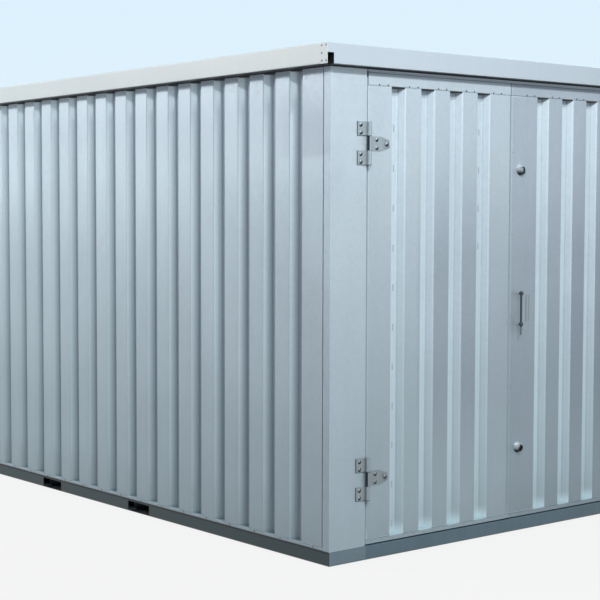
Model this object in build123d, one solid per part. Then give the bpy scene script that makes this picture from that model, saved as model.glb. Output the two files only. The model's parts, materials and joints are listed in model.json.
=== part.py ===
from build123d import *
import os

# Portable site cabin of folded galvanised sheet, in millimetres, +Z up.
# The double doors face -Y, and the origin is the middle of the plan at ground level.

# Trapezoidal sheet, one profile for the walls, the doors and the roof
pitch = 180.0
valley_opening = 83.0
valley_floor = 37.0
valley_depth = 30.0
sheet = 2.0
bend_radius = 2.0
side_lap = 45.0

# Heights of the cabin
overall_height = 2200.0
roof_rail_height = 86.0
base_height = 60.0

# Long side walls and rear wall
side_valleys = 19
side_end_flat = 180.0
side_joint_valleys = (5, 10, 15)
rear_valleys = 11
rear_joint_valleys = (4, 8)
track_height = 14.0
track_depth = 34.0

# Corner posts
corner_side = 36.0
corner_front = 210.0
post_lap = 30.0
joggle_run = 8.0
stop_width = 20.0

# Doors
door_valleys = 4
hinge_flat = 138.5
left_lock_flat = 138.5
right_lock_flat = 181.5
leaf_depth = 34.0
hinge_gap = 6.0
meeting_gap = 7.0
door_bottom_gap = 6.0
door_top_gap = 6.0
stop_clearance = 5.0
top_rail_height = 54.0
bottom_rail_height = 20.5
header_lip = 11.0
header_flange = 28.0
header_stop = 30.0

# Base frame and floor
base_thickness = 3.0
base_flange = 55.0
joist_width = 40.0
joist_inset_shares = (0.16, 0.84)
joist_pocket_gap = 25.0
pocket_width = 185.0
pocket_lip = 10.0
pocket_spacing = 831.0
deck_thickness = 21.0
deck_boards = 3
deck_board_gap = 2.0
deck_wall_gap = 6.0

# Roof frame
side_overhang = 64.0
end_overhang = 50.0
roof_rail_thickness = 2.0
roof_rail_bottom_flange = 112.0
roof_rail_top_flange = 30.0
slot_width = 36.0
slot_height = 46.0
slot_depth = 40.0
bracket_leg = 75.0
bracket_thickness = 4.0
roof_crests = 20
roof_joint_valleys = (5, 10, 15)
roof_gutter = 36.0

# Strap hinges
lower_hinge_inset = 287.0
upper_hinge_inset = 302.0
hinge_axis_offset = 11.0
barrel_radius = 10.0
pin_radius = 6.0
pin_clearance = 0.1
pin_tail = 14.0
knuckle_height = 61.0
knuckle_gap = 1.0
hinge_plate_thickness = 4.0
hinge_plate_reach = 63.0
hinge_plate_inset = 4.0
strap_reach = 125.0
strap_taper_share = 0.62
strap_tip_share = 0.55
strap_corner_radius = 8.0

# Locks and pull handle on the right door
lock_inset = 66.0
lower_lock_inset = 332.0
upper_lock_inset = 396.5
lock_radius = 27.0
lock_rim_radius = 21.0
lock_height = 17.0
lock_recess_radius = 14.0
lock_recess_depth = 6.0
lock_stem_radius = 11.0
lock_stem_clearance = 0.5
lock_stem_reach = 24.0
lock_cam_width = 24.0
lock_cam_length = 52.0
lock_cam_thickness = 4.0
handle_inset = 52.0
handle_top = 1124.0
handle_bottom = 980.0
handle_tail = 50.0
handle_bar_radius = 5.0
handle_leg_radius = 5.0
handle_knob_radius = 11.0
handle_standoff = 26.0

# Cuts run past the faces that they open by this much
overrun = 10.0

flank_run = (valley_opening - valley_floor) / 2
wall_top = overall_height - roof_rail_height
wall_foot = base_height + track_height
rebate = leaf_depth + stop_clearance
pocket_top = base_height - pocket_lip

length = 2 * side_end_flat + (side_valleys - 1) * pitch + valley_opening
door_ribs = (door_valleys - 1) * pitch + valley_opening
left_leaf = hinge_flat + door_ribs + left_lock_flat
right_leaf = right_lock_flat + door_ribs + hinge_flat
width = 2 * corner_front + 2 * hinge_gap + left_leaf + meeting_gap + right_leaf
rear_end_flat = (width - (rear_valleys - 1) * pitch - valley_opening) / 2

left_leaf_start = corner_front + hinge_gap
right_leaf_start = left_leaf_start + left_leaf + meeting_gap
door_bottom = base_height + door_bottom_gap
door_top = wall_top - header_lip - door_top_gap
axis_x = corner_front + hinge_gap / 2
hinge_centres = (door_bottom + lower_hinge_inset, door_top - upper_hinge_inset)
lock_heights = (door_bottom + lower_lock_inset, door_top - upper_lock_inset)


def block(x0, x1, y0, y1, z0, z1):
    """Box between two opposite corners."""
    corner = (Align.MIN, Align.MIN, Align.MIN)
    return Pos(x0, y0, z0) * Box(x1 - x0, y1 - y0, z1 - z0, align=corner)


def upright(x, y, z0, z1, radius):
    """Vertical cylinder from z0 to z1."""
    standing = (Align.CENTER, Align.CENTER, Align.MIN)
    return Pos(x, y, z0) * Cylinder(radius, z1 - z0, align=standing)


def folded(points, thickness, rounded=False):
    """Section of a sheet folded along points, its thickness lying to the left of them."""
    face = [Vector(*point) for point in points]
    steps = [after - before for before, after in zip(face, face[1:])]
    lefts = [Vector(-step.Y, step.X).normalized() for step in steps]
    back = [face[0] + lefts[0] * thickness]
    for corner, one, two in zip(face[1:], lefts, lefts[1:]):
        back.append(corner + (one + two) * (thickness / (1 + one.dot(two))))
    back.append(face[-1] + lefts[-1] * thickness)
    if rounded:
        outer_radius = bend_radius + thickness
        to_left = [one.cross(two).Z > 0 for one, two in zip(steps, steps[1:])]
        face_line = FilletPolyline(*face, radius=[outer_radius if left else bend_radius for left in to_left])
        back_line = FilletPolyline(*back, radius=[bend_radius if left else outer_radius for left in to_left])
    else:
        face_line = Polyline(*face)
        back_line = Polyline(*back)
    ends = Line(face[0], back[0]) + Line(face[-1], back[-1])
    return make_face((face_line + back_line + ends).edges())


def valley(start):
    """Four corners of one valley, in from the crest face and out again."""
    return [
        (start, 0),
        (start + flank_run, valley_depth),
        (start + flank_run + valley_floor, valley_depth),
        (start + valley_opening, 0),
    ]


def lapped_paths(head, starts, joints, tail):
    """Fold lines of side-lapped sheets; each joint tucks a tongue behind the crest before it."""
    paths = []
    points = list(head)
    for number, start in enumerate(starts, 1):
        crest_end, floor_start, floor_end, crest_start = valley(start)
        points.append(crest_end)
        if number in joints:
            paths.append(points)
            tucked = start + sheet * flank_run / valley_depth
            points = [(start - side_lap, sheet), (tucked, sheet)]
        points += [floor_start, floor_end, crest_start]
    paths.append(points + list(tail))
    return paths


def standing_sheet(points, foot, top, rounded=False):
    """Folded sheet that stands from foot to top."""
    return Pos(0, 0, foot) * extrude(folded(points, sheet, rounded), amount=top - foot)


def lying_profile(points, thickness, run, rounded=False):
    """Folded profile that lies along X, drawn as depth and height."""
    return extrude(Plane.YZ * folded(points, thickness, rounded), amount=run)


def channel(top_depth, bottom_depth, bottom, top, thickness, run, rounded=False):
    """Channel along X with its web in front and its flanges pointing back."""
    points = [(top_depth, top), (0, top), (0, bottom), (bottom_depth, bottom)]
    return lying_profile(points, thickness, run, rounded)


def mitred(beam, run, depth, bottom, top):
    """Beam with both ends cut at 45 degrees."""
    plan = Polyline((0, 0), (run, 0), (run - depth, depth), (depth, depth), close=True)
    return beam & (Pos(0, 0, bottom) * extrude(make_face(plan.edges()), amount=top - bottom))


def at_front(shape, side=0, end=0):
    return Pos(-width / 2 - side, -length / 2 - end, 0) * shape


def at_rear(shape, side=0, end=0):
    return Pos(width / 2 + side, length / 2 + end, 0) * Rot(0, 0, 180) * shape


def at_right(shape, side=0, end=0):
    return Pos(width / 2 + side, -length / 2 - end, 0) * Rot(0, 0, 90) * shape


def other_side(shape):
    return mirror(shape, about=Plane.YZ)


def base_beam(run):
    beam = channel(base_flange, base_flange, 0, base_height, base_thickness, run, rounded=True)
    return mitred(beam, run, base_flange, 0, base_height)


def pocket_starts():
    middle = length / 2
    return [middle + side * pocket_spacing / 2 - pocket_width / 2 for side in (-1, 1)]


def side_base_beam():
    """Long base beam with its two fork notches, open to the ground."""
    beam = base_beam(length)
    for start in pocket_starts():
        beam -= block(start, start + pocket_width, -overrun, base_flange + overrun, -overrun, pocket_top)
    return beam


def floor_joists():
    """Channels across the base frame, two beside each fork pocket and one near each end."""
    starts = [length * share - joist_width / 2 for share in joist_inset_shares]
    for pocket in pocket_starts():
        starts.append(pocket - joist_pocket_gap - joist_width)
        starts.append(pocket + pocket_width + joist_pocket_gap)
    span = width - 2 * base_flange
    joist = channel(joist_width, joist_width, 0, base_height, base_thickness, span)
    return [at_front(Pos(base_flange, start, 0) * joist) for start in sorted(starts)]


def floor_deck():
    """Boards across the base frame, inside the wall tracks and behind the doors."""
    side = track_depth + deck_wall_gap
    front = rebate + stop_clearance + deck_wall_gap
    rear = length - track_depth - deck_wall_gap
    board = (rear - front - (deck_boards - 1) * deck_board_gap) / deck_boards
    boards = []
    for number in range(deck_boards):
        start = front + number * (board + deck_board_gap)
        boards.append(block(side, width - side, start, start + board, base_height, base_height + deck_thickness))
    return [at_front(board) for board in boards]


def bottom_track(run):
    """Ledge that the wall sheets stand on, between two corner posts."""
    span = run - 2 * corner_side
    return Pos(corner_side, 0, 0) * channel(
        track_depth, track_depth, base_height, wall_foot, sheet, span)


def wall_sheets(run, end_flat, valleys, joints):
    """Side-lapped sheets of one wall, from its left end seen from outside."""
    edge = corner_side + joggle_run + bend_radius
    starts = [end_flat + number * pitch for number in range(valleys)]
    paths = lapped_paths([(edge, 0)], starts, joints, [(run - edge, 0)])
    return [standing_sheet(points, wall_foot, wall_top) for points in paths]


def front_corner_post():
    """Left front post: side lap, corner, broad front face, door rebate and stop."""
    points = [
        (sheet, corner_side + joggle_run + post_lap),
        (sheet, corner_side + joggle_run),
        (0, corner_side),
        (0, 0),
        (corner_front, 0),
        (corner_front, rebate),
        (corner_front + stop_width, rebate),
    ]
    upper = standing_sheet(points, wall_foot, wall_top, rounded=True)
    lower = standing_sheet(points[2:], base_height, wall_foot, rounded=True)
    return at_front(upper + lower)


def rear_corner_post():
    """Left rear post, a folded angle with a lap behind each wall."""
    points = [
        (corner_side + joggle_run + post_lap, sheet),
        (corner_side + joggle_run, sheet),
        (corner_side, 0),
        (0, 0),
        (0, corner_side),
        (sheet, corner_side + joggle_run),
        (sheet, corner_side + joggle_run + post_lap),
    ]
    points = [(width - across, inward) for across, inward in points]
    upper = standing_sheet(points, wall_foot, wall_top, rounded=True)
    lower = standing_sheet(points[2:5], base_height, wall_foot, rounded=True)
    return at_rear(upper + lower)


def door_header():
    """Folded header over the doors, with a lip in front and a stop behind them."""
    lip_foot = wall_top - header_lip
    points = [
        (header_flange, wall_top),
        (0, wall_top),
        (0, lip_foot),
        (rebate, lip_foot),
        (rebate, lip_foot - header_stop),
    ]
    start = corner_front + bend_radius
    span = width - 2 * start
    header = lying_profile(points, sheet, span, rounded=True)
    for end in (0, span - stop_width):
        header -= block(end, end + stop_width, rebate, rebate + overrun, lip_foot - header_stop, wall_top)
    return at_front(Pos(start, 0, 0) * header)


def roof_rail(run):
    rail = channel(
        roof_rail_top_flange, roof_rail_bottom_flange, wall_top, overall_height, roof_rail_thickness, run,
        rounded=True)
    return mitred(rail, run, roof_rail_bottom_flange, wall_top, overall_height)


def end_roof_rail():
    """Roof rail over a short end, stopping at the lifting slot of each corner."""
    run = width + 2 * side_overhang
    return between_caps(roof_rail(run), run, roof_rail_thickness + slot_width)


def side_roof_rail():
    """Roof rail over a long side, stopping behind the lifting slots."""
    run = length + 2 * end_overhang
    return between_caps(roof_rail(run), run, slot_depth)


def between_caps(rail, run, reach):
    """Rail without the stretch at each end that a corner cap takes up."""
    return rail & block(reach, run - reach, 0, roof_rail_bottom_flange, wall_top, overall_height)


def roof_corner_caps():
    """Three plates closing each roof corner: side, strip above the lifting slot, and top."""
    inside = roof_rail_thickness
    slot_top = wall_top + slot_height
    slot_end = inside + slot_width
    under = overall_height - roof_rail_thickness
    plates = [
        block(0, inside, 0, slot_depth, wall_top, overall_height),
        block(inside, slot_end, 0, inside, slot_top, overall_height),
        block(inside, slot_end, inside, slot_depth, under, overall_height),
    ]
    front = [at_front(plate, side_overhang, end_overhang) for plate in plates]
    left = front + [mirror(plate, about=Plane.XZ) for plate in front]
    return left + [other_side(plate) for plate in left]


def roof_brackets():
    """Angles riveted inside the four roof corners, above the lifting slots."""
    inside = roof_rail_thickness
    foot = wall_top + slot_height
    head = overall_height - roof_rail_thickness - bend_radius
    leg = inside + bracket_leg
    web = inside + bracket_thickness
    angle = block(inside, leg, inside, web, foot, head) + block(inside, web, inside, leg, foot, head)
    front = at_front(angle, side_overhang, end_overhang)
    rear = mirror(front, about=Plane.XZ)
    return [front, other_side(front), rear, other_side(rear)]


def roof_sheets():
    """Side-lapped roof sheets whose valley floors rest on the roof rails."""
    spread = roof_crests * pitch + valley_floor
    first = (length - spread) / 2 - flank_run
    starts = [first + number * pitch for number in range(roof_crests + 1)]
    head = valley(starts[0])[1:]
    tail = valley(starts[-1])[:3]
    paths = lapped_paths(head, starts[1:-1], roof_joint_valleys, tail)
    top = wall_top + roof_rail_thickness + valley_depth + sheet
    run = width + 2 * side_overhang - 2 * roof_gutter
    sheets = []
    for points in paths:
        section = folded(points, sheet)
        flat = Plane((width / 2 - run / 2, 0, top), x_dir=(0, 1, 0), z_dir=(-1, 0, 0)) * section
        sheets.append(at_front(extrude(flat, amount=-run)))
    return sheets


def door_sheet(start, leaf, first_flat):
    """Ribbed leaf sheet with its upright edges folded back."""
    points = [(0, leaf_depth), (0, 0)]
    for number in range(door_valleys):
        points += valley(first_flat + number * pitch)
    points += [(leaf, 0), (leaf, leaf_depth)]
    foot = door_bottom + bottom_rail_height
    top = door_top - top_rail_height
    return Pos(start, 0, 0) * standing_sheet(points, foot, top)


def door_rails(start, leaf):
    """Bottom and top rails that close the ends of the leaf sheet."""
    heights = [
        (door_bottom, door_bottom + bottom_rail_height),
        (door_top - top_rail_height, door_top),
    ]
    rails = [channel(leaf_depth, leaf_depth, low, high, sheet, leaf) for low, high in heights]
    return [at_front(Pos(start, 0, 0) * rail) for rail in rails]


def knuckle(low, high):
    """Hinge barrel from low to high, bored for the pin."""
    barrel = upright(axis_x, -hinge_axis_offset, low, high, barrel_radius)
    bore = upright(axis_x, -hinge_axis_offset, low - overrun, high + overrun, pin_radius + pin_clearance)
    return barrel, bore


def hinge_plate(low):
    """Fixed hinge leaf on the corner post, with its knuckle."""
    high = low + knuckle_height
    plate = block(
        axis_x - hinge_plate_reach, axis_x - hinge_plate_inset, -hinge_plate_thickness, 0, low, high)
    barrel, bore = knuckle(low, high)
    return plate + barrel - bore


def hinge_strap(centre):
    """Tapered strap on the door, with the middle knuckle."""
    half = knuckle_height / 2
    root = axis_x + hinge_plate_inset
    tip = axis_x + strap_reach
    taper = axis_x + strap_reach * strap_taper_share
    tip_half = half * strap_tip_share
    outline = Polyline(
        (root, centre - half), (taper, centre - half), (tip, centre - tip_half),
        (tip, centre + tip_half), (taper, centre + half), (root, centre + half), close=True)
    plan = make_face(outline.edges())
    plan = fillet(plan.vertices().group_by(Axis.X)[-1], strap_corner_radius)
    strap = extrude(Plane.XZ * plan, amount=hinge_plate_thickness)
    barrel, bore = knuckle(centre - half, centre + half)
    return strap + barrel - bore


def hinge_plates():
    half = knuckle_height / 2
    lows = []
    for centre in hinge_centres:
        lows += [centre - half - knuckle_gap - knuckle_height, centre + half + knuckle_gap]
    return [at_front(hinge_plate(low)) for low in lows]


def hinge_straps():
    return [at_front(hinge_strap(centre)) for centre in hinge_centres]


def hinge_pins():
    reach = knuckle_height / 2 + knuckle_gap + knuckle_height
    pins = []
    for centre in hinge_centres:
        low = centre - reach - pin_tail
        pins.append(at_front(upright(axis_x, -hinge_axis_offset, low, centre + reach, pin_radius)))
    return pins


def facing(x, z):
    """Plane on the door face at a spot, looking out of the door."""
    return Plane((x, 0, z), x_dir=(1, 0, 0), z_dir=(0, -1, 0))


def door_lock(height):
    """Raised round escutcheon with a recessed key face, its stem and the cam behind the door."""
    place = facing(right_leaf_start + lock_inset, height)
    face = lock_height - lock_recess_depth
    profile = Polyline(
        (0, -lock_stem_reach), (lock_stem_radius, -lock_stem_reach), (lock_stem_radius, 0),
        (lock_radius, 0), (lock_rim_radius, lock_height), (lock_recess_radius, lock_height),
        (lock_recess_radius, face), (0, face), close=True)
    turned = revolve(Plane.XZ * make_face(profile.edges()), Axis.Z)
    cam_top = -lock_stem_reach
    cam = block(
        -lock_cam_width / 2, lock_cam_width / 2, -lock_cam_length, lock_cam_width / 2,
        cam_top - lock_cam_thickness, cam_top)
    return at_front(place * (turned + cam))


def pull_handle():
    """Round bar held off the door by two legs with ball knobs, with a tail below the lower one."""
    x = right_leaf_start + handle_inset
    bar = upright(x, -handle_standoff, handle_bottom - handle_tail, handle_top, handle_bar_radius)
    for height in (handle_bottom, handle_top):
        leg = Cylinder(handle_leg_radius, handle_standoff, align=(Align.CENTER, Align.CENTER, Align.MIN))
        bar += facing(x, height) * leg
        bar += Pos(x, -handle_standoff, height) * Sphere(handle_knob_radius)
    return at_front(bar)


def right_door_sheet():
    """Right leaf sheet, bored for the two lock stems."""
    leaf = door_sheet(right_leaf_start, right_leaf, right_lock_flat)
    bore = Cylinder(lock_stem_radius + lock_stem_clearance, 2 * leaf_depth)
    for height in lock_heights:
        leaf -= facing(right_leaf_start + lock_inset, height) * bore
    return at_front(leaf)


nodes = {}
nodes["base_beam_front"] = [at_front(base_beam(width))]
nodes["base_beam_rear"] = [at_rear(base_beam(width))]
nodes["base_beam_right"] = [at_right(side_base_beam())]
nodes["base_beam_left"] = [other_side(nodes["base_beam_right"][0])]
nodes["floor_joists"] = floor_joists()
nodes["floor_deck"] = floor_deck()

nodes["right_bottom_track"] = [at_right(bottom_track(length))]
nodes["left_bottom_track"] = [other_side(nodes["right_bottom_track"][0])]
nodes["rear_bottom_track"] = [at_rear(bottom_track(width))]

side_sheets = wall_sheets(length, side_end_flat, side_valleys, side_joint_valleys)
for number, panel in enumerate(side_sheets, 1):
    nodes[f"right_wall_panel_{number}"] = [at_right(panel)]
    nodes[f"left_wall_panel_{number}"] = [other_side(at_right(panel))]
rear_sheets = wall_sheets(width, rear_end_flat, rear_valleys, rear_joint_valleys)
for number, panel in enumerate(rear_sheets, 1):
    nodes[f"rear_wall_panel_{number}"] = [at_rear(panel)]

nodes["front_left_corner_post"] = [front_corner_post()]
nodes["front_right_corner_post"] = [other_side(nodes["front_left_corner_post"][0])]
nodes["rear_left_corner_post"] = [rear_corner_post()]
nodes["rear_right_corner_post"] = [other_side(nodes["rear_left_corner_post"][0])]
nodes["door_header"] = [door_header()]

nodes["roof_rail_front"] = [at_front(end_roof_rail(), side_overhang, end_overhang)]
nodes["roof_rail_rear"] = [at_rear(end_roof_rail(), side_overhang, end_overhang)]
nodes["roof_rail_right"] = [at_right(side_roof_rail(), side_overhang, end_overhang)]
nodes["roof_rail_left"] = [other_side(nodes["roof_rail_right"][0])]
nodes["roof_corner_caps"] = roof_corner_caps()
nodes["roof_corner_brackets"] = roof_brackets()
for number, panel in enumerate(roof_sheets(), 1):
    nodes[f"roof_sheet_{number}"] = [panel]

left_plates = hinge_plates()
left_pins = hinge_pins()
nodes["door_hinge_plates"] = left_plates + [other_side(plate) for plate in left_plates]
nodes["door_hinge_pins"] = left_pins + [other_side(pin) for pin in left_pins]

nodes["left_door_sheet"] = [at_front(door_sheet(left_leaf_start, left_leaf, hinge_flat))]
nodes["left_door_rails"] = door_rails(left_leaf_start, left_leaf)
nodes["left_hinge_straps"] = hinge_straps()
nodes["right_door_sheet"] = [right_door_sheet()]
nodes["right_door_rails"] = door_rails(right_leaf_start, right_leaf)
nodes["right_hinge_straps"] = [other_side(strap) for strap in nodes["left_hinge_straps"]]
nodes["door_locks"] = [door_lock(height) for height in lock_heights]
nodes["pull_handle"] = [pull_handle()]

os.makedirs("parts", exist_ok=True)
for name, solids in nodes.items():
    shape = solids[0] if len(solids) == 1 else Compound(children=solids)
    export_step(shape, f"parts/{name}.step")
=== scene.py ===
import json
import math

import bmesh
import bpy
from mathutils import Matrix, Vector


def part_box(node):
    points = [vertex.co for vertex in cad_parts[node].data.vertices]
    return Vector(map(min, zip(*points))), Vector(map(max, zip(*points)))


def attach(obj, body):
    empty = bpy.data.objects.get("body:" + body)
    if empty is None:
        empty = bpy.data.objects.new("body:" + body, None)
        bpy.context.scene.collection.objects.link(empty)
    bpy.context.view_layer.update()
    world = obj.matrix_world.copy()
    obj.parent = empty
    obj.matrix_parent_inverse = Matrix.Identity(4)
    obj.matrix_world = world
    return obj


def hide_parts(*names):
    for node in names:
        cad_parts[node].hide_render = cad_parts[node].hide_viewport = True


# Portable site cabin: galvanised ribbed walls, double doors, pale roof fascia and a slate base frame.
# Metres, in the part's own frame: doors face -Y, +Z is up.

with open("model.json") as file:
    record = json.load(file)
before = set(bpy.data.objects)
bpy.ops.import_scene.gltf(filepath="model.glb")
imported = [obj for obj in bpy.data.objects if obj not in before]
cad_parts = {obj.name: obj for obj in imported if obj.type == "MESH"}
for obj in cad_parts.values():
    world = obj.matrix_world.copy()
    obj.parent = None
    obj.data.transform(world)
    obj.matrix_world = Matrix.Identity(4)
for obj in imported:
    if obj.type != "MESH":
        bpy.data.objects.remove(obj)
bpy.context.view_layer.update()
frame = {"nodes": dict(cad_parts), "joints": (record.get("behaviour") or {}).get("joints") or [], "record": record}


def lowest(node):
    """Lowest corner of a CAD node, to a tenth of a millimetre."""
    return [round(side, 4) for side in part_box(node)[0]]


def highest(node):
    """Highest corner of a CAD node, to a tenth of a millimetre."""
    return [round(side, 4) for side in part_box(node)[1]]


# Walls, base and roof
half_width = -lowest("front_left_corner_post")[0]
front_face = lowest("front_left_corner_post")[1]
half_length = -front_face
base_top = highest("base_beam_front")[2]
wall_top = lowest("roof_rail_front")[2]
roof_top = highest("roof_rail_front")[2]
roof_side = -lowest("roof_rail_left")[0]
roof_end = -lowest("roof_rail_front")[1]

# Trapezoidal sheet
pitch = 0.180
valley_opening = 0.083
valley_depth = 0.030
side_end_flat = 0.180
crest_half = (pitch - valley_opening) / 2
side_valley_count = 19
rear_valley_count = 11
door_valley_count = 4

# Doors
door_bottom = lowest("left_door_rails")[2]
door_top = highest("left_door_rails")[2]
rail_joint = highest("left_door_sheet")[2]
leaf_spans = {
    "left_door": (lowest("left_door_rails")[0], highest("left_door_rails")[0]),
    "right_door": (lowest("right_door_rails")[0], highest("right_door_rails")[0]),
}
first_flats = {"left_door": 0.1385, "right_door": 0.1815}
valley_starts = {body: leaf_spans[body][0] + flat for body, flat in first_flats.items()}

# Hinges and locks
hinge_axis = frame["joints"][1]["pos_m"][0]
hinge_heights = (0.353, 1.795)
plate_face = front_face - 0.004
plate_offsets = (-0.062, 0.062)
plate_half = 0.0305
plate_reach = 0.063
lock_x = (lowest("door_locks")[0] + highest("door_locks")[0]) / 2
lock_heights = (0.398, 1.7005)
lock_recess = 0.014

# Tones of dust and wear, a paler slate, and the near black painted shade and white painted highlight
dust_grey = (0.30, 0.33, 0.34)
scuff_grey = (0.42, 0.46, 0.48)
pale_slate = (0.36, 0.46, 0.52)
painted_coat_shade = (0.012, 0.016, 0.018)
painted_highlight_white = (0.95, 0.98, 1.0)
painted_metal_shade = (0.022, 0.032, 0.038)


class Wire:
    """A socket of a shader node. Sums and products of wires add their own Math nodes."""

    # Places of the colour sockets on a Mix node
    mix_share, mix_one, mix_two, mix_result = 0, 6, 7, 2

    def __init__(self, tree, socket=None):
        self.tree = tree
        self.socket = socket

    def node(self, kind, settings, sockets, output=0):
        """Adds a node: its settings first, then the values or links of its sockets."""
        made = self.tree.nodes.new("ShaderNode" + kind)
        for name, value in settings.items():
            setattr(made, name, value)
        for name, value in sockets.items():
            if isinstance(value, Wire):
                self.tree.links.new(value.socket, made.inputs[name])
            else:
                made.inputs[name].default_value = value
        return Wire(self.tree, made.outputs[output])

    def math(self, operation, *terms):
        return self.node("Math", {"operation": operation}, dict(enumerate(terms)))

    def __add__(self, other):
        return self.math("ADD", self, other)

    def __radd__(self, other):
        return self.math("ADD", other, self)

    def __sub__(self, other):
        return self.math("SUBTRACT", self, other)

    def __rsub__(self, other):
        return self.math("SUBTRACT", other, self)

    def __mul__(self, other):
        return self.math("MULTIPLY", self, other)

    def __rmul__(self, other):
        return self.math("MULTIPLY", other, self)

    def most(self, other):
        return self.math("MAXIMUM", self, other)

    def between(self, low, high):
        """0 at low and below, 1 at high and above."""
        sockets = {"Value": self, "From Min": low, "From Max": high}
        return self.node("MapRange", {"interpolation_type": "SMOOTHSTEP"}, sockets)

    def blend(self, one, two):
        """Colour one where this is 0, colour two where it is 1."""
        one, two = [c if isinstance(c, Wire) else (*c, 1.0) for c in (one, two)]
        sockets = {self.mix_share: self, self.mix_one: one, self.mix_two: two}
        return self.node("Mix", {"data_type": "RGBA"}, sockets, self.mix_result)

    def shaded(self, grey):
        """This colour times a grey."""
        settings = {"data_type": "RGBA", "blend_type": "MULTIPLY"}
        sockets = {self.mix_share: 1.0, self.mix_one: self, self.mix_two: grey}
        return self.node("Mix", settings, sockets, self.mix_result)

    def noise(self, scale, detail=2.0, roughness=0.5, stretch=None):
        """Soft noise at scale per metre over the piece, stretched along its axes."""
        place = self.node("Mapping", {}, {"Vector": self, "Scale": stretch}) if stretch else self
        sockets = {"Vector": place, "Scale": scale, "Detail": detail, "Roughness": roughness}
        return self.node("TexNoise", {}, sockets)


def new_finish(name, metallic):
    """Material with its constant set, the shader to fill, and the place on the piece."""
    material = bpy.data.materials.new(name)
    material.use_nodes = True
    shader = material.node_tree.nodes["Principled BSDF"]
    shader.inputs["Metallic"].default_value = metallic
    place = Wire(material.node_tree).node("TexCoord", {}, {}, "Object")
    return material, shader, place


def fill(shader, colour, roughness, height, strength, distance):
    """Links what changes over the surface to the shader."""
    tree = colour.tree
    tree.links.new(colour.socket, shader.inputs["Base Color"])
    tree.links.new(roughness.socket, shader.inputs["Roughness"])
    bump = colour.node("Bump", {}, {"Height": height, "Strength": strength, "Distance": distance})
    tree.links.new(bump.socket, shader.inputs["Normal"])


def along(place, axis):
    return place.node("SeparateXYZ", {}, {0: place}, axis)


def size_of(wire):
    return wire.math("ABSOLUTE", wire)


def on_face(distance, reach):
    """1 on the outer face that lies at reach, 0 behind it."""
    return distance.between(reach - 0.0030, reach - 0.0022)


def door_relief(flat, dull, far, flank, floor):
    """Tone of a door leaf, painted light and shade throughout: flats painted darker as a painted reflection in the
    middle and past far, a painted shadow under the header and under the top rail, painted highlights on the
    meeting edge and the outer folds, painted shade in the inner crease, and flanks, valley floors and feet painted
    lighter.

    flank and floor each give a tone and what is added to it towards the foot.
    """
    def relief(place):
        x = along(place, "X")
        z = along(place, "Z")
        depth = along(place, "Y") - front_face
        low = 1.0 - z.between(0.2, 1.8)
        foot = 1.0 - z.between(0.090, 0.150)
        # painted reflection: the flats darker in a band across the middle and past far
        painted_dull_middle = z.between(0.05, 0.75) * (1.0 - z.between(1.2, 1.9))
        # painted shadow under the header
        head = z.between(door_top - 0.020, door_top - 0.013) * -0.28
        # painted highlight along the meeting edge
        painted_edge_highlight = (1.0 - size_of(x + 0.013).between(0.004, 0.006)) * 0.10
        past = x.between(far, far + 0.06) * (1.0 - x.between(far + 0.44, far + 0.50) * 0.65)
        under_rail = 1.0 - z.between(rail_joint, rail_joint + 0.001)
        # painted shadow of the top rail, a triangle in each valley
        painted_rail_shadow = (depth * 1.3 + z - rail_joint).between(0.0, 0.004) * under_rail * 0.28
        flats = flat + painted_dull_middle * (past * dull - 0.06) + head + painted_edge_highlight
        # flanks, valley floors and feet painted lighter, as painted light
        flanks = flank[0] + low * flank[1] + foot * 0.65
        floors = floor[0] + low * floor[1] + foot * 0.40
        # painted highlight on the outer fold and painted shade in the inner crease
        fold = depth.between(0.0002, 0.0010) * (1.0 - depth.between(0.0040, 0.0080)) * 0.08
        corner = depth.between(0.022, 0.026) * (1.0 - depth.between(0.0284, 0.0292)) * -0.12
        in_valley = depth.between(0.0002, 0.0010)
        on_floor = depth.between(valley_depth - 0.0014, valley_depth - 0.0004)
        tone = (1.0 - in_valley) * flats + (in_valley - on_floor) * flanks + on_floor * floors
        return tone + fold + corner - in_valley * painted_rail_shadow
    return relief


def wall_relief(place):
    """Tone of a wall sheet: painted light on the valley flanks by the rib edges and painted shade towards the
    valley floors, and a painted shadow of the eaves on the crests.

    The crests by the front corners carry a painted darker reflection near the top, the crests are painted darker
    below the top, the flanks of the valleys are painted light under the eaves, and the whole wall pales towards
    the rear.
    """
    y = along(place, "Y")
    z = along(place, "Z")
    inward_x = half_width - size_of(along(place, "X"))
    inward_y = half_length - size_of(y)
    depth = place.math("MINIMUM", inward_x, inward_y)
    in_valley = depth.between(0.0008, 0.0020)
    down = depth * (1.0 / valley_depth)
    # painted light on the valley flanks under the eaves
    painted_flank_light = z.between(1.96, 2.04) * down * (1.0 - depth.between(0.021, 0.028)) * 0.50
    # painted light by the rib edges, painted shade towards the valley floor
    valley = 0.35 - down * 0.2 - down * down * 0.5 + painted_flank_light
    near = 1.0 - y.between(-1.3, 0.1)
    # painted shadow of the eaves on the crests near the front
    eaves_edge = z.between(wall_top - 0.0355, wall_top - 0.0305)
    painted_eaves_shadow = eaves_edge * (0.28 - z.between(wall_top - 0.030, wall_top - 0.026) * 0.12)
    # painted darker reflection on the crests by the front corners
    painted_dark_reflection = z.between(1.715, 1.755) * (1.0 - z.between(1.86, 2.06)) * (1.0 - y.between(-1.66, -1.40)) * -0.15
    # crests painted darker below the top, as painted shade
    crest = z.between(1.68, 1.95) * -0.13 - painted_eaves_shadow * near + painted_dark_reflection
    fade = y.between(-1.6, 1.2) * 0.11 - 0.04
    return in_valley * valley + (1.0 - in_valley) * crest + fade


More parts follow.
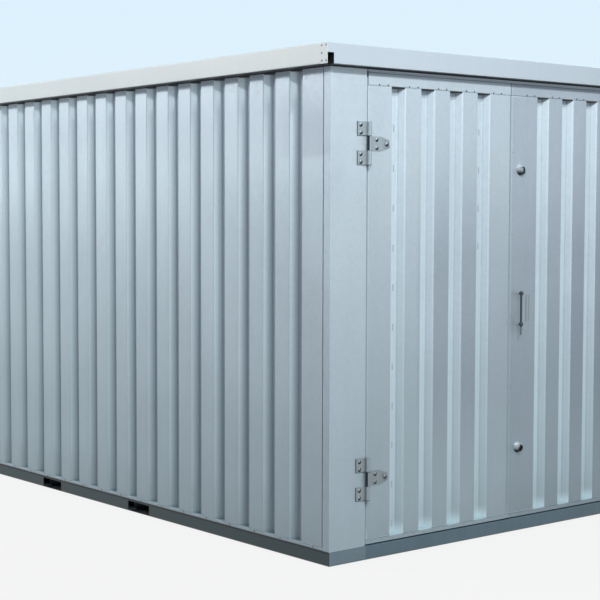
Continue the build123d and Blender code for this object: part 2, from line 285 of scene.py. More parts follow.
def post_relief(place):
    """Tone of the front posts, with painted shade on their side faces and a painted darker reflection there near
    the top, and a painted shadow on the header between them.
    """
    reach = size_of(along(place, "X"))
    z = along(place, "Z")
    between_posts = 1.0 - reach.between(hinge_axis - 0.0025, hinge_axis - 0.0005)
    # painted shadow of the eaves on the header
    header = z.between(door_top + 0.0002, door_top + 0.0007) * between_posts * 0.25
    # side faces painted darker, with a painted darker reflection band near the top
    side = z.between(0.3, 1.6) * 0.07 - z.between(1.70, 1.77) * 0.14 - 0.25
    return reach.between(half_width - 0.0012, half_width - 0.0004) * side - header


def galvanised(name, streak, low, high, dusty, relief=None):
    """Spangled zinc, painted brighter above and darker lower down as painted shade, with streaks, clouds and dust
    at the foot.
    """
    material, shader, place = new_finish(name, 0.35)
    cells = place.node("TexVoronoi", {}, {"Vector": place, "Scale": 70.0}, "Color")
    spangle = place.node("SeparateColor", {}, {0: cells}, 0)
    clouds = place.noise(1.6, 3.0)
    streaks = place.noise(9.0, 4.0, 0.6, streak)
    splashes = place.noise(14.0, 5.0, 0.65)
    z = along(place, "Z")
    # painted shade: darker towards the bottom
    shine = (z + (clouds - 0.5) * 0.5).between(-0.1, 2.2)
    mottle = (spangle - 0.5) * 0.05 + (streaks - 0.5) * 0.09 + (clouds - 0.5) * 0.12
    if relief:
        mottle = mottle + relief(place)
    grey = place.node("CombineColor", {}, {0: mottle + 1.0, 1: mottle + 1.0, 2: mottle * 0.9 + 1.0})
    tone = shine.blend(low, high).shaded(grey)
    dust = (1.0 - (z + (splashes - 0.5) * 0.25).between(0.06, 0.32)) * dusty
    tone = dust.blend(tone, dust_grey)
    roughness = 0.48 + (spangle - 0.5) * 0.12 + (clouds - 0.5) * 0.16 + dust * 0.4
    sag = place.noise(2.6, 1.0, 0.4)
    fill(shader, tone, roughness, sag, 0.12, 0.003)
    return material


def inner_shade_mask(place, half_x, half_y, top):
    """1 on the hidden side of a sprayed channel, which is painted near black as shade, 0 on its outer faces and
    top.
    """
    inside = 1.0 - on_face(size_of(along(place, "X")), half_x)
    within = 1.0 - on_face(size_of(along(place, "Y")), half_y)
    under = 1.0 - on_face(along(place, "Z"), top)
    return inside * within * under


def base_pale_ends(place):
    """Share of paler coat on the ends of the base under the corner posts."""
    return size_of(along(place, "X")).between(hinge_axis - 0.004, hinge_axis + 0.004) * 0.26


def coated(name, colour, shade, roughness, wear, outer=None, sides=None, paler=None):
    """Sprayed coat with a little orange peel, rain streaks and scuffs.

    outer gives the reach in x, y and z that the coat has, with near black painted shade behind it. sides gives the
    reach in x, colour and shade of the long sides, which get their own painted light and shade. The last mask says
    where the rest turns paler.
    """
    material, shader, place = new_finish(name, 0.0)
    rain = place.noise(22.0, 3.0, 0.6, (1, 1, 0.12))
    clouds = place.noise(2.2, 3.0)
    scuffs = place.noise(38.0, 6.0, 0.7, (1, 1, 3.0)).between(0.60, 0.72)
    patchy = (rain - 0.5) * 0.7 + (clouds - 0.5) * 0.9 + 0.5
    tone = patchy.blend(shade, colour)
    if paler:
        tone = paler(place).blend(tone, pale_slate)
    # painted light and shade: the long sides get their own tone
    if sides:
        reach, side_colour, side_shade = sides
        on_side = on_face(size_of(along(place, "X")), reach)
        tone = on_side.blend(tone, patchy.blend(side_shade, side_colour))
    tone = (scuffs * wear).blend(tone, scuff_grey)
    if outer:
        # painted shade: near black on the hidden insides
        tone = inner_shade_mask(place, *outer).blend(tone, painted_coat_shade)
    peel = place.noise(420.0, 2.0)
    fill(shader, tone, roughness + (clouds - 0.5) * 0.2 + scuffs * 0.1, peel, 0.12, 0.0004)
    return material


def bare_metal(
        name, colour, shade, metallic, roughness, brushed=None, shade_mask=None, low_down_share=1.0, highlight_mask=None):
    """Plated or turned metal with a fine brushed grain and tarnish, and near black painted shade where the shade
    mask says.

    The share argument is how much of the tone is left on pieces low down, as painted shade, and the highlight mask
    says where a white highlight is painted.
    """
    material, shader, place = new_finish(name, metallic)
    grain = place.noise(260.0, 3.0, 0.6, brushed)
    tarnish = place.noise(34.0, 4.0, 0.6)
    patchy = (grain - 0.5) * 0.5 + (tarnish - 0.5) * 0.8 + 0.5
    tone = patchy.blend(shade, colour)
    # painted shade: pieces low down darker
    if low_down_share < 1.0:
        low_down_tone = patchy.blend([part * low_down_share for part in shade], [part * low_down_share for part in colour])
        tone = along(place, "Z").between(0.8, 1.4).blend(low_down_tone, tone)
    # painted highlight
    if highlight_mask:
        tone = highlight_mask(place).blend(tone, painted_highlight_white)
    # painted shade, near black
    if shade_mask:
        tone = shade_mask(place).blend(tone, painted_metal_shade)
    fill(shader, tone, roughness + (tarnish - 0.5) * 0.25 + (grain - 0.5) * 0.1, grain, 0.15, 0.0002)
    return material


def handle_coat(name):
    """Black powder coat on the bar and its knobs, with a plated rod below them and plated legs."""
    material, shader, place = new_finish(name, 0.1)
    peel = place.noise(500.0, 2.0)
    wear = place.noise(90.0, 4.0, 0.6)
    coat = wear.blend((0.020, 0.028, 0.034), (0.055, 0.072, 0.084))
    rod = wear.blend((0.13, 0.17, 0.19), (0.22, 0.27, 0.30))
    plated = wear.blend((0.34, 0.40, 0.44), (0.46, 0.52, 0.56))
    tone = along(place, "Z").between(0.966, 0.968).blend(rod, coat)
    leg = along(place, "Y").between(front_face - 0.0155, front_face - 0.0145)
    fill(shader, leg.blend(tone, plated), 0.38 + (wear - 0.5) * 0.2, peel, 0.15, 0.0003)
    return material


def floor_board(name):
    """Brown coated plywood with grain along the boards, foot traffic, and a dark underside."""
    material, shader, place = new_finish(name, 0.0)
    grain = place.noise(30.0, 6.0, 0.65, (0.12, 1, 1))
    fleck = place.noise(240.0, 3.0, 0.6, (0.2, 1, 1))
    traffic = place.noise(3.0, 4.0, 0.6)
    tone = (grain * 0.7 + fleck * 0.3).blend((0.20, 0.125, 0.07), (0.50, 0.36, 0.22))
    tone = (traffic.between(0.5, 0.75) * 0.4).blend(tone, (0.33, 0.30, 0.26))
    upper = along(place, "Z").between(base_top + 0.0005, base_top + 0.0015)
    tone = upper.blend((0.03, 0.025, 0.02), tone)
    fill(shader, tone, 0.55 + (traffic - 0.5) * 0.3, fleck, 0.25, 0.0006)
    return material


def knuckle_shade(place):
    """1 on the outer half of the strap's knuckle, which gets painted shade."""
    return size_of(along(place, "X")).between(hinge_axis + 0.0055, hinge_axis + 0.0065)


def plate_edge_shade(place):
    """Painted shade along the outer and lower edges of the fixed plates."""
    edge_from, edge_to = 0.0014, 0.0028
    outer = hinge_axis + plate_reach
    shaded_part = size_of(along(place, "X")).between(outer - edge_to, outer - edge_from)
    for centre in hinge_heights:
        for plate in plate_offsets:
            rise = along(place, "Z") - (centre + plate - plate_half)
            lower_edge = (1.0 - rise.between(edge_from, edge_to)) * rise.between(-0.002, -0.001)
            shaded_part = shaded_part.most(lower_edge)
    return shaded_part * 0.75


def bolt_painted_shade(place):
    """1 on the lower right of each head, where shade is painted; each head keeps its own lean from the master."""
    lean = place.node("Attribute", {"attribute_name": "lean"}, {}, "Fac")
    return 1.0 - lean.between(0.05, 0.50)


def lock_painted_shade(place):
    """1 on the underside of each lock, over most of the lower one, and on the wall of its key recess, where shade
    is painted.
    """
    across = along(place, "X") - lock_x
    spots = []
    for height, lean in zip(lock_heights, (0.45, 0.0)):
        rise = along(place, "Z") - height
        tilted = rise - across * lean - lean * 0.020
        spots.append((1.0 - tilted.between(-0.018, 0.004)) * rise.between(-0.034, -0.030))
        radius = place.math("SQRT", across * across + rise * rise)
        inner = radius.between(lock_recess - 0.0008, lock_recess - 0.0003)
        spots.append(inner * (1.0 - radius.between(lock_recess + 0.0002, lock_recess + 0.0007)))
    shaded_part = spots[0]
    for spot in spots[1:]:
        shaded_part = shaded_part.most(spot)
    return shaded_part


def lock_painted_highlight(place):
    """1 on the upper left of each lock's rim, where a white highlight is painted."""
    across = along(place, "X") - lock_x
    spots = []
    for height in lock_heights:
        rise = along(place, "Z") - height
        lean = rise * 0.88 - across * 0.45
        spots.append(lean.between(0.017, 0.022) * (1.0 - rise.between(0.034, 0.040)))
    return spots[0].most(spots[1])


# Galvanised sheet, painted darker at its foot and brighter at its top as painted shade, in lighter and darker
# copies for the walls, doors and posts as painted light
upright_streaks = (1.0, 1.0, 0.05)
crosswise_streaks = (0.05, 1.0, 1.0)
wall_low, wall_high = (0.335, 0.414, 0.460), (0.58, 0.668, 0.726)
door_low, door_high = (0.373, 0.462, 0.512), (0.63, 0.727, 0.793)
post_low, post_high = (0.428, 0.524, 0.583), (0.668, 0.768, 0.836)
# each door leaf has its own painted light and shade
left_relief = door_relief(0.03, -0.20, -0.64, (0.0, 0.12), (0.17, 0.31))
right_relief = door_relief(-0.17, -0.10, 0.36, (-0.05, 0.15), (0.26, 0.26))
zinc_wall = galvanised("galvanised_wall", upright_streaks, wall_low, wall_high, 0.28, wall_relief)
zinc_post = galvanised("galvanised_post", upright_streaks, post_low, post_high, 0.1, post_relief)
zinc_roof = galvanised("galvanised_roof", crosswise_streaks, wall_low, wall_high, 0.35)
zinc_left_door = galvanised(
    "galvanised_left_door", upright_streaks, door_low, door_high, 0.2, left_relief)
zinc_right_door = galvanised(
    "galvanised_right_door", upright_streaks, door_low, door_high, 0.2, right_relief)

# Sprayed coats, with painted light and shade on their long sides, and the finishes of the seals and of the painted
# shade and gap strips
# base sides painted darker than the ends, as painted shade
base_sides = (half_width, (0.013, 0.038, 0.045), (0.009, 0.027, 0.031))
slate_paint = coated(
    "slate_base_paint", (0.128, 0.212, 0.263), (0.091, 0.150, 0.189), 0.40, 0.08,
    sides=base_sides, paler=base_pale_ends)
# near black painted shade inside the roof rails
fascia_outer = (roof_side, roof_end, roof_top)
# fascia sides painted lighter than the ends, as painted light
fascia_sides = (roof_side, (0.90, 0.965, 0.97), (0.84, 0.915, 0.925))
fascia_coat = coated(
    "pale_fascia_coat", (0.685, 0.80, 0.885), (0.63, 0.745, 0.84), 0.36, 0.0, fascia_outer, fascia_sides)
# near black for the sill seals and for the painted shade strips, blocks and pockets
seal_rubber = coated("seal_rubber", (0.014, 0.017, 0.019), (0.009, 0.011, 0.012), 0.6, 0.0)
# grey for the strips that fill the door gaps, painted light
gap_fill_grey = coated("grey_seal", (0.43, 0.51, 0.565), (0.37, 0.445, 0.49), 0.6, 0.0)

# Plated and turned metal, coated handle and floor
upright_grain = (1, 1, 0.1)
turned_grain = (1, 0.1, 1)
hinge_zinc = bare_metal(
    "hinge_zinc", (0.50, 0.575, 0.605), (0.35, 0.415, 0.445), 0.45, 0.46, upright_grain, plate_edge_shade, 0.76)
strap_zinc = bare_metal(
    "strap_zinc", (0.48, 0.55, 0.59), (0.335, 0.395, 0.43), 0.45, 0.46, upright_grain, knuckle_shade, 0.70)
bolt_steel = bare_metal(
    "bolt_steel", (0.56, 0.61, 0.64), (0.44, 0.49, 0.52), 0.4, 0.46, None, bolt_painted_shade, 0.70)
mark_zinc = bare_metal("mark_zinc", (0.50, 0.57, 0.61), (0.38, 0.44, 0.48), 0.4, 0.46)
rivet_dark = bare_metal("rivet_dark", (0.16, 0.19, 0.21), (0.09, 0.11, 0.125), 0.5, 0.42)
rivet_zinc = bare_metal("rivet_zinc", (0.34, 0.39, 0.42), (0.22, 0.26, 0.29), 0.5, 0.42)
lock_chrome = bare_metal(
    "lock_chrome", (0.58, 0.62, 0.65), (0.40, 0.44, 0.47), 0.8, 0.30, turned_grain, lock_painted_shade,
    highlight_mask=lock_painted_highlight)
handle_black = handle_coat("handle_black")
plywood = floor_board("coated_plywood")

finishes = {
    "galvanised_sheet": zinc_wall,
    "base_paint": slate_paint,
    "roof_fascia_paint": fascia_coat,
    "hinge_zinc": hinge_zinc,
    "plywood": plywood,
    "lock_chrome": lock_chrome,
    "handle_black": handle_black,
}
special_finishes = {
    "left_door_sheet": zinc_left_door, "left_door_rails": zinc_left_door,
    "right_door_sheet": zinc_right_door, "right_door_rails": zinc_right_door,
    "left_hinge_straps": strap_zinc, "right_hinge_straps": strap_zinc,
    "front_left_corner_post": zinc_post, "front_right_corner_post": zinc_post, "door_header": zinc_post,
    "roof_sheet_1": zinc_roof, "roof_sheet_2": zinc_roof,
    "roof_sheet_3": zinc_roof, "roof_sheet_4": zinc_roof,
}
slots = {part["node"]: part["material_slot"] for part in frame["record"]["subparts"]}
bodies = frame["record"]["behaviour"]["bodies"]
body_of = {node: body for body, nodes in bodies.items() for node in nodes}


def finish_for(node):
    return special_finishes.get(node, finishes[slots[node]])


def dress(piece, material):
    piece.data.materials.clear()
    piece.data.materials.append(material)


def only(piece):
    """Makes this the one selected and active object."""
    bpy.ops.object.select_all(action="DESELECT")
    piece.select_set(True)
    bpy.context.view_layer.objects.active = piece


def editing(piece):
    """Opens the piece in edit mode."""
    only(piece)
    bpy.ops.object.mode_set(mode="EDIT")


def pick(piece, kind, test):
    """Selects the verts, edges or faces that pass the test, and nothing else."""
    modes = {"verts": "VERT", "edges": "EDGE", "faces": "FACE"}
    bpy.ops.mesh.select_mode(type=modes[kind])
    bpy.ops.mesh.select_all(action="DESELECT")
    mesh = bmesh.from_edit_mesh(piece.data)
    for item in getattr(mesh, kind):
        if test(item):
            item.select_set(True)
    bmesh.update_edit_mesh(piece.data)


def finished(piece, degrees=35.0):
    """Back to object mode, smooth over the bends and true on the flats."""
    bpy.ops.object.mode_set(mode="OBJECT")
    bpy.ops.object.shade_smooth_by_angle(angle=math.radians(degrees))
    flats = piece.modifiers.new("flats", "WEIGHTED_NORMAL")
    flats.weight = 100
    flats.keep_sharp = True
    bpy.ops.object.modifier_apply(modifier=flats.name)
    return piece


def fold_line(width):
    """Test for a folded edge whose two faces leave room for a bend this wide."""
    def test(edge):
        if len(edge.link_faces) != 2 or edge.calc_length() < 4 * width:
            return False
        room = min(face.calc_area() for face in edge.link_faces) / edge.calc_length()
        return room > 2.5 * width and edge.calc_face_angle() > math.radians(25)
    return test


def rounded_copy(node, width, steps=2):
    """Copy of a CAD node with its folds or edges rounded, which stands in for the node."""
    source = frame["nodes"][node]
    piece = bpy.data.objects.new(node + "_rounded", source.data.copy())
    bpy.context.scene.collection.objects.link(piece)
    editing(piece)
    bpy.ops.mesh.select_mode(type="EDGE")
    bpy.ops.mesh.select_all(action="SELECT")
    bpy.ops.mesh.remove_doubles(threshold=0.00002)
    bpy.ops.mesh.dissolve_limited(angle_limit=math.radians(0.5))
    if width:
        pick(piece, "edges", fold_line(width))
        bpy.ops.mesh.bevel(offset=width, segments=steps, affect="EDGES")
    finished(piece)
    dress(piece, finish_for(node))
    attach(piece, body_of[node])
    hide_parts(node)


for node, solid in frame["nodes"].items():
    dress(solid, finish_for(node))

sheet_bend = 0.0045
rail_bend = 0.0022
plate_edge = 0.0008
turned_edge = 0.0010
for node in slots:
    if "wall_panel" in node or "door_sheet" in node or "roof_sheet" in node:
        rounded_copy(node, sheet_bend, 3)
for node in slots:
    if node.endswith(("door_rails", "bottom_track")):
        rounded_copy(node, rail_bend)
    elif node.startswith(("base_beam", "roof_rail")) or node.endswith(("corner_post", "door_header")):
        rounded_copy(node, 0.0)
    elif node in ("door_hinge_plates", "left_hinge_straps", "right_hinge_straps"):
        rounded_copy(node, plate_edge)
    elif node in ("door_hinge_pins", "pull_handle", "door_locks"):
        rounded_copy(node, turned_edge)


def disc(sides, radius, thickness):
    """Plain round blank that stands on the ground plane, to be shaped further."""
    bpy.ops.object.select_all(action="DESELECT")
    bpy.ops.mesh.primitive_cylinder_add(
        vertices=sides, radius=radius, depth=thickness, location=(0, 0, thickness / 2))
    bpy.ops.object.transform_apply(location=True, rotation=True, scale=True)
    return bpy.context.object


def domed_head(name, radius, rise, sides):
    """Fastener head along +Z: a short barrel drawn in over three insets to a dome."""
    piece = disc(sides, radius, rise / 2)
    piece.name = name
    editing(piece)
    pick(piece, "faces", lambda face: face.normal.z > 0.9)
    bpy.ops.mesh.inset(thickness=radius * 0.25, depth=rise * 0.30)
    bpy.ops.mesh.inset(thickness=radius * 0.30, depth=rise * 0.15)
    bpy.ops.mesh.inset(thickness=radius * 0.25, depth=rise * 0.05)
    return finished(piece, 60.0)


def washered_bolt():
    """Domed bolt head on a thin round washer. Each point keeps its lean to the upper left for the painted shade.
    """
    washer_radius = 0.0098
    head = domed_head("bolt_head", 0.0074, 0.0046, 20)
    head.location.z = 0.0012
    bpy.ops.object.transform_apply(location=True, rotation=True, scale=True)
    washer = disc(24, washer_radius, 0.0014)
    editing(washer)
    pick(washer, "edges", lambda edge: abs(edge.verts[0].co.z - edge.verts[1].co.z) < 1e-6)
    bpy.ops.mesh.bevel(offset=0.0004, segments=1, affect="EDGES")
    finished(washer)
    only(head)
    washer.select_set(True)
    bpy.ops.object.join()
    lean = head.data.attributes.new("lean", "FLOAT", "POINT")
    for point, value in zip(head.data.vertices, lean.data):
        value.value = (point.co.y * 0.75 - point.co.x * 0.66) / washer_radius
    return head


def pressed_mark():
    """Long oval mark pressed proud of the sheet, upright when it is turned to the front."""
    half_stretch = 0.012
    piece = domed_head("pressed_mark", 0.0032, 0.0012, 12)
    upper = [point.index for point in piece.data.vertices if point.co.y > 0]
    editing(piece)
    pick(piece, "verts", lambda point: point.index in upper)
    bpy.ops.transform.translate(value=(0, half_stretch, 0))
    bpy.ops.mesh.select_all(action="INVERT")
    bpy.ops.transform.translate(value=(0, -half_stretch, 0))
    bpy.ops.object.mode_set(mode="OBJECT")
    return piece


facing_front = Matrix.Rotation(math.radians(90), 4, "X")
facing_rear = Matrix.Rotation(math.radians(180), 4, "Z") @ facing_front
facing_left = Matrix.Rotation(math.radians(-90), 4, "Z") @ facing_front
facing_right = Matrix.Rotation(math.radians(90), 4, "Z") @ facing_front
facing_sides = ((-1, facing_left), (1, facing_right))


def set_out(master, name, spots, material, body):
    """One copy of the master at each spot, joined to a single piece on a body."""
    copies = []
    for place, turn in spots:
        piece = bpy.data.objects.new(name, master.data.copy())
        piece.data.transform(Matrix.Translation(place) @ turn)
        bpy.context.scene.collection.objects.link(piece)
        copies.append(piece)
    only(copies[0])
    for piece in copies:
        piece.select_set(True)
    bpy.ops.object.join()
    group = copies[0]
    dress(group, material)
    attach(group, body)


# Hinge bolts: four on each pair of fixed plates, three on each strap
plate_bolt_reach = 0.044
plate_bolt_steps = (-0.0165, 0.0165)
strap_bolt_places = ((0.049, -0.0175), (0.049, 0.0175), (0.108, 0.0))
bolt = washered_bolt()
plate_bolts = []
strap_bolts = {-1: [], 1: []}
for side in (-1, 1):
    for centre in hinge_heights:
        for plate in plate_offsets:
            for step in plate_bolt_steps:
                spot = (side * (hinge_axis + plate_bolt_reach), plate_face, centre + plate + step)
                plate_bolts.append((spot, facing_front))
        for reach, step in strap_bolt_places:
            spot = (side * (hinge_axis - reach), plate_face, centre + step)
            strap_bolts[side].append((spot, facing_front))
set_out(bolt, "hinge_plate_bolts", plate_bolts, bolt_steel, "cabin")
set_out(bolt, "left_strap_bolts", strap_bolts[-1], bolt_steel, "left_door")
set_out(bolt, "right_strap_bolts", strap_bolts[1], bolt_steel, "right_door")

# Rivets on the corners of the fascia: distance from the end, and height
fascia_rivet_places = ((0.0345, 2.126), (0.0345, 2.158), (0.0345, 2.189), (0.0080, 2.126), (0.0080, 2.190))
rivet = domed_head("rivet", 0.0040, 0.0018, 12)
fascia_rivets = []
for side, turn in facing_sides:
    for end in (-1, 1):
        for inset, z in fascia_rivet_places:
            fascia_rivets.append(((side * roof_side, end * (roof_end - inset), z), turn))
set_out(rivet, "fascia_rivets", fascia_rivets, rivet_dark, "cabin")

# Screws through the bottom tracks: one on each crest
screw_height = 0.0675
screw_past_valley = 0.060
first_screw, last_screw = 0.104, 3.59
valley_ends = [side_end_flat + valley_opening + pitch * n for n in range(side_valley_count - 1)]
screw_runs = [first_screw] + [run + screw_past_valley for run in valley_ends] + [last_screw]
track_screws = []
for run in screw_runs:
    for side, turn in facing_sides:
        track_screws.append(((side * half_width, front_face + run, screw_height), turn))
for n in range(-5, 7):
    track_screws.append(((pitch * n - pitch / 2, half_length, screw_height), facing_rear))
set_out(rivet, "wall_foot_screws", track_screws, rivet_dark, "cabin")

# Rivets along the foot and the head of each door
foot_rivet_count = 14
foot_rivet_margin = 0.030
foot_rivet_height = door_bottom + 0.0105
head_rivet_height = rail_joint + 0.004
head_rivet_step = 0.026
small_rivet = domed_head("small_rivet", 0.0030, 0.0012, 10)
for body, (start, end) in leaf_spans.items():
    foot_spots = []
    gap = (end - start - 2 * foot_rivet_margin) / (foot_rivet_count - 1)
    for n in range(foot_rivet_count):
        x = start + foot_rivet_margin + gap * n
        foot_spots.append(((x, front_face, foot_rivet_height), facing_front))
    set_out(small_rivet, body + "_rivets", foot_spots, rivet_zinc, body)
    head_spots = []
    for n in range(door_valley_count + 1):
        crest = valley_starts[body] - crest_half + pitch * n
        for step in (-head_rivet_step, head_rivet_step):
            head_spots.append(((crest + step, front_face, head_rivet_height), facing_front))
    set_out(rivet, body + "_head_rivets", head_spots, rivet_dark, body)

# Pressed marks up the valleys of the left door: the valley, and the first mark that it has
marked_valleys = ((0, 0), (3, 7))
mark_count = 11
lowest_mark = 0.132
mark_gap = 0.1735
mark_off_middle = -0.001
mark = pressed_mark()
marks = []
for valley, first in marked_valleys:
    x = valley_starts["left_door"] + pitch * valley + valley_opening / 2 + mark_off_middle
    for n in range(first, mark_count):
        marks.append(((x, front_face + valley_depth, lowest_mark + mark_gap * n), facing_front))
set_out(mark, "left_door_pressed_marks", marks, mark_zinc, "left_door")

stile_rivet_x = -0.006
stile_rivet_heights = (0.33, 0.69, 1.02, 1.40, 1.78)
stile_spots = [((stile_rivet_x, front_face, z), facing_front) for z in stile_rivet_heights]
set_out(small_rivet, "lock_stile_rivets", stile_spots, rivet_zinc, "right_door")
for master in (bolt, rivet, small_rivet, mark):
    bpy.data.objects.remove(master)


def bar(name, low, high, material, body, edge=0.0002):
    """Straight strip between two corners, its edges eased."""
    bpy.ops.object.select_all(action="DESELECT")
    bpy.ops.mesh.primitive_cube_add(size=1.0, location=[(a + b) / 2 for a, b in zip(low, high)])
    piece = bpy.context.object
    piece.name = name
    piece.scale = [b - a for a, b in zip(low, high)]
    bpy.ops.object.transform_apply(location=True, rotation=True, scale=True)
    if edge:
        editing(piece)
        bpy.ops.mesh.select_all(action="SELECT")
        bpy.ops.mesh.bevel(offset=edge, segments=2, affect="EDGES")
        finished(piece)
    dress(piece, material)
    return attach(piece, body)


def slot_pocket(side, end):
    """Near black pocket behind a lifting slot as painted shade, open to the end and below, with thin walls."""
    inset, width, depth, top = 0.0025, 0.040, 0.044, 2.1625
    outer_x = roof_side - inset
    outer_y = roof_end - inset
    xs = sorted((side * outer_x, side * (outer_x - width)))
    ys = sorted((end * outer_y, end * (outer_y - depth)))
    low = (xs[0], ys[0], wall_top + 0.0008)
    high = (xs[1], ys[1], top)
    name = "slot_pocket_" + ("front" if end < 0 else "rear") + ("_left" if side < 0 else "_right")
    piece = bar(name, low, high, seal_rubber, "cabin", 0.0)
    editing(piece)
    pick(piece, "faces", lambda face: face.normal.y * end > 0.9 or face.normal.z < -0.9)
    bpy.ops.mesh.delete(type="FACE")
    bpy.ops.mesh.select_all(action="SELECT")
    bpy.ops.mesh.solidify(thickness=0.0008)
    bpy.ops.mesh.normals_make_consistent(inside=False)
    bpy.ops.object.mode_set(mode="OBJECT")


for side in (-1, 1):
    for end in (-1, 1):
        slot_pocket(side, end)

# Near black strips under the eaves as painted shade, pale strips in the gaps over the doors, at the hinges and
# between the doors as painted light, and seals along the sills
seal_gap = 0.0001
eaves_proud = 0.0016
eaves_low = wall_top - 0.0048
eaves = {
    "eaves_seal_front": (
        (-half_width, front_face - eaves_proud, eaves_low),
        (half_width, front_face - seal_gap, wall_top)),
    "eaves_seal_rear": (
        (-half_width, half_length + seal_gap, eaves_low),
        (half_width, half_length + eaves_proud, wall_top)),
    "eaves_seal_left": (
        (-half_width - eaves_proud, front_face, eaves_low),
        (-half_width - seal_gap, half_length, wall_top)),
    "eaves_seal_right": (
        (half_width + seal_gap, front_face, eaves_low),
        (half_width + eaves_proud, half_length, wall_top)),
}
# near black strips under the eaves, painted shade
for name, (low, high) in eaves.items():
    bar(name, low, high, seal_rubber, "cabin")

head_half = hinge_axis - 0.004
# zinc strip filling the gap over the doors, painted light in place of its shade
bar("door_head_seal",
    (-head_half, front_face + 0.0002, door_top + 0.0007),
    (head_half, front_face + 0.0022, door_top + 0.0067),
    zinc_post, "cabin")
# grey strip filling each hinge gap, painted light in place of its shade
for name, side in (("left_hinge_seal", -1), ("right_hinge_seal", 1)):
    xs = sorted((side * (hinge_axis - 0.0012), side * (hinge_axis + 0.0028)))
    bar(name,
        (xs[0], front_face + 0.0008, door_bottom + 0.002),
        (xs[1], front_face + 0.0070, door_top - 0.021),
        gap_fill_grey, "cabin")
# grey strip filling the gap between the doors, painted light in place of its shade
bar("meeting_seal",
    (leaf_spans["left_door"][1] + seal_gap, front_face + 0.0012, door_bottom + 0.003),
    (leaf_spans["right_door"][0] - 0.0012, front_face + 0.0060, door_top - 0.003),
    gap_fill_grey, "left_door")
for name, side in (("left_sill_seal", -1), ("right_sill_seal", 1)):
    xs = sorted((side * (half_width + seal_gap), side * (half_width + 0.0012)))
    bar(name,
        (xs[0], front_face, base_top - 0.0075),
        (xs[1], half_length, base_top + 0.0008),
        seal_rubber, "cabin")

# Two shallow beads beside the pull handle: start and end in x, foot and head
handle_beads = ((0.0930, 0.1015, 0.988, 1.115), (0.1140, 0.1185, 0.990, 1.114))
bead_proud = 0.0008
for number, (start, end, foot, head) in enumerate(handle_beads, 1):
    bar(f"handle_side_bead_{number}",
        (start, front_face - bead_proud, foot),
        (end, front_face - seal_gap, head),
        rivet_zinc, "right_door")


def shade_block(height):
    """Block that closes the top of one rib valley, near black as painted shade: +Z points out of the sheet and +Y
    up.
    """
    width, depth, middle = 0.080, 0.0274, -0.0158
    floor_share = 0.47
    bpy.ops.object.select_all(action="DESELECT")
    bpy.ops.mesh.primitive_cube_add(size=1.0, location=(0, height / 2, middle))
    piece = bpy.context.object
    piece.scale = (width, height, depth)
    bpy.ops.object.transform_apply(location=True, rotation=True, scale=True)
    editing(piece)
    pick(piece, "faces", lambda face: face.normal.z < -0.9)
    bpy.ops.transform.resize(value=(floor_share, 1.0, 1.0))
    bpy.ops.object.mode_set(mode="OBJECT")
    return piece


# near black blocks at the valley tops, painted shade
door_filler_height = 0.006
wall_filler_height = 0.003
filler_foot = eaves_low - wall_filler_height
door_filler = shade_block(door_filler_height)
for body, first in valley_starts.items():
    middles = [first + pitch * n + valley_opening / 2 for n in range(door_valley_count)]
    spots = [((x, front_face, rail_joint - door_filler_height), facing_front) for x in middles]
    set_out(door_filler, body + "_rib_fillers", spots, seal_rubber, body)
wall_filler = shade_block(wall_filler_height)
first_valley = front_face + side_end_flat + valley_opening / 2
side_valleys = [first_valley + pitch * n for n in range(side_valley_count)]
rear_valleys = [pitch * (n - rear_valley_count // 2) for n in range(rear_valley_count)]
wall_valleys = {
    "left_wall_rib_fillers": [((-half_width, y, filler_foot), facing_left) for y in side_valleys],
    "right_wall_rib_fillers": [((half_width, y, filler_foot), facing_right) for y in side_valleys],
    "rear_wall_rib_fillers": [((x, half_length, filler_foot), facing_rear) for x in rear_valleys],
}
for name, spots in wall_valleys.items():
    set_out(wall_filler, name, spots, seal_rubber, "cabin")
for master in (door_filler, wall_filler):
    bpy.data.objects.remove(master)


def pale_rays(wire):
    """1 for the rays that show the background: seen straight on, mirrored or through glass."""
    seen = wire.node("LightPath", {}, {}, "Is Camera Ray")
    gloss = wire.node("LightPath", {}, {}, "Is Glossy Ray")
    through = wire.node("LightPath", {}, {}, "Is Transmission Ray")
    return seen.most(gloss).most(through)


def studio_floor():
    """Pale floor that keeps the shadow, with a near black painted shadow under the cabin."""
    bpy.ops.object.select_all(action="DESELECT")
    bpy.ops.mesh.primitive_plane_add(size=80.0, location=(0, 0, -0.0015))
    floor = bpy.context.object
    floor.name = "studio_floor"
    material, shader, place = new_finish("pale_studio_floor", 0.0)
    shader.inputs["Roughness"].default_value = 0.9
    tree = material.node_tree
    x = size_of(along(place, "X")).between(half_width - 0.008, half_width)
    y = size_of(along(place, "Y")).between(half_length - 0.008, half_length)
    # painted shadow: near black and without the glow under the cabin
    clear = x.most(y)
    pale = place.noise(0.7, 4.0).blend((0.46, 0.46, 0.46), (0.50, 0.50, 0.50))
    tone = clear.blend((0.012, 0.012, 0.012), pale)
    tree.links.new(tone.socket, shader.inputs["Base Color"])
    glow = place.node("Emission", {}, {"Color": (1.0, 1.0, 1.0, 1.0), "Strength": 1.0})
    share = pale_rays(place) * clear * 0.85
    mixed = place.node("MixShader", {}, {0: share, 1: Wire(tree, shader.outputs[0]), 2: glow})
    tree.links.new(mixed.socket, tree.nodes["Material Output"].inputs["Surface"])
    floor.data.materials.append(material)


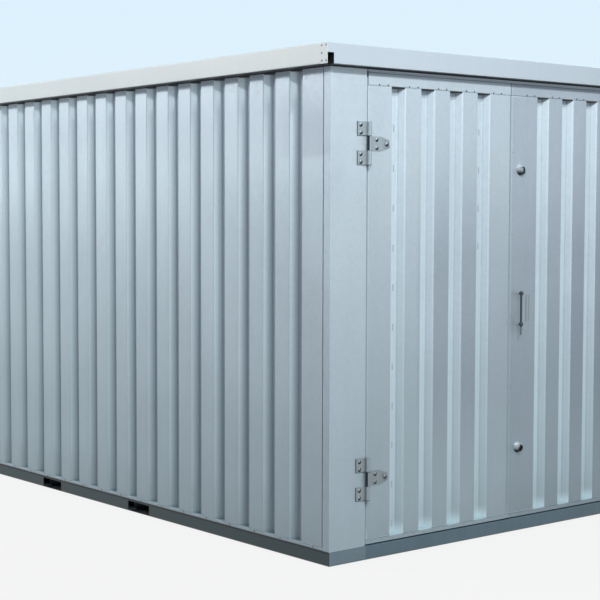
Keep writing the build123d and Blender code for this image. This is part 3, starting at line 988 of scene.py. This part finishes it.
def studio_sky():
    """Soft even light from a sky that shows as pale blue, paler towards the floor."""
    world = bpy.data.worlds.new("studio_sky")
    bpy.context.scene.world = world
    world.use_nodes = True
    tree = world.node_tree
    wire = Wire(tree)
    up = along(wire.node("TexCoord", {}, {}, "Generated"), "Z")
    sky = up.between(-0.05, 0.30).blend((0.75, 0.895, 0.99), (0.70, 0.868, 0.98))
    light = wire.node("Background", {}, {"Color": (0.88, 0.94, 1.0, 1.0), "Strength": 0.15})
    shown = wire.node("Background", {}, {"Color": sky, "Strength": 1.0})
    mixed = wire.node("MixShader", {}, {0: pale_rays(wire), 1: light, 2: shown})
    tree.links.new(mixed.socket, tree.nodes["World Output"].inputs["Surface"])


def strip_light(name, place, target, long_side, short_side, power):
    """Long soft lamp whose long side stays level."""
    lamp = bpy.data.lights.new(name, "AREA")
    lamp.shape = "RECTANGLE"
    lamp.size = long_side
    lamp.size_y = short_side
    lamp.energy = power
    holder = bpy.data.objects.new(name, lamp)
    bpy.context.scene.collection.objects.link(holder)
    holder.location = place
    holder.rotation_euler = (Vector(target) - Vector(place)).to_track_quat("-Z", "Y").to_euler()
    holder.visible_camera = False


def photo_camera():
    """Camera at the photograph's viewing angle, whose frame is cut from the right of a wider picture."""
    picture = 600.0
    lens_pixels = 1467.50
    lens_middle = 219.5
    tilt, roll, turn = -3.3181, 0.0376, -37.6012
    data = bpy.data.cameras.new("photo_camera")
    data.sensor_width = 36.0
    data.lens = lens_pixels / picture * data.sensor_width
    data.shift_x = (picture / 2 - lens_middle) / picture
    data.clip_end = 200.0
    camera = bpy.data.objects.new("photo_camera", data)
    bpy.context.scene.collection.objects.link(camera)
    camera.location = (-5.2607, -6.4317, 1.4912)
    camera.rotation_euler = (math.radians(90.0 + tilt), math.radians(roll), math.radians(turn))
    bpy.context.scene.camera = camera


studio_floor()
studio_sky()
# Lamps: place, aim, long side and short side in metres, and watts
strip_light("left_strip", (-6.6, 6.6, 4.7), (-1.2, 0.0, 1.9), 2.0, 0.5, 395.0)
strip_light("front_strip", (-1.4, -5.4, 4.45), (0.0, -1.9, 1.6), 1.8, 0.3, 123.0)
strip_light("camera_side", (-8.35, -10.1, 7.3), (-0.9, -1.2, 1.3), 0.9, 0.7, 290.0)
strip_light("right_strip", (5.8, 0.6, 4.3), (1.2, 0.2, 1.2), 6.0, 0.7, 110.0)
strip_light("rear_strip", (0.4, 6.6, 3.6), (0.0, 1.9, 1.1), 5.5, 0.7, 95.0)
photo_camera()
bpy.context.scene.view_settings.view_transform = "Standard"
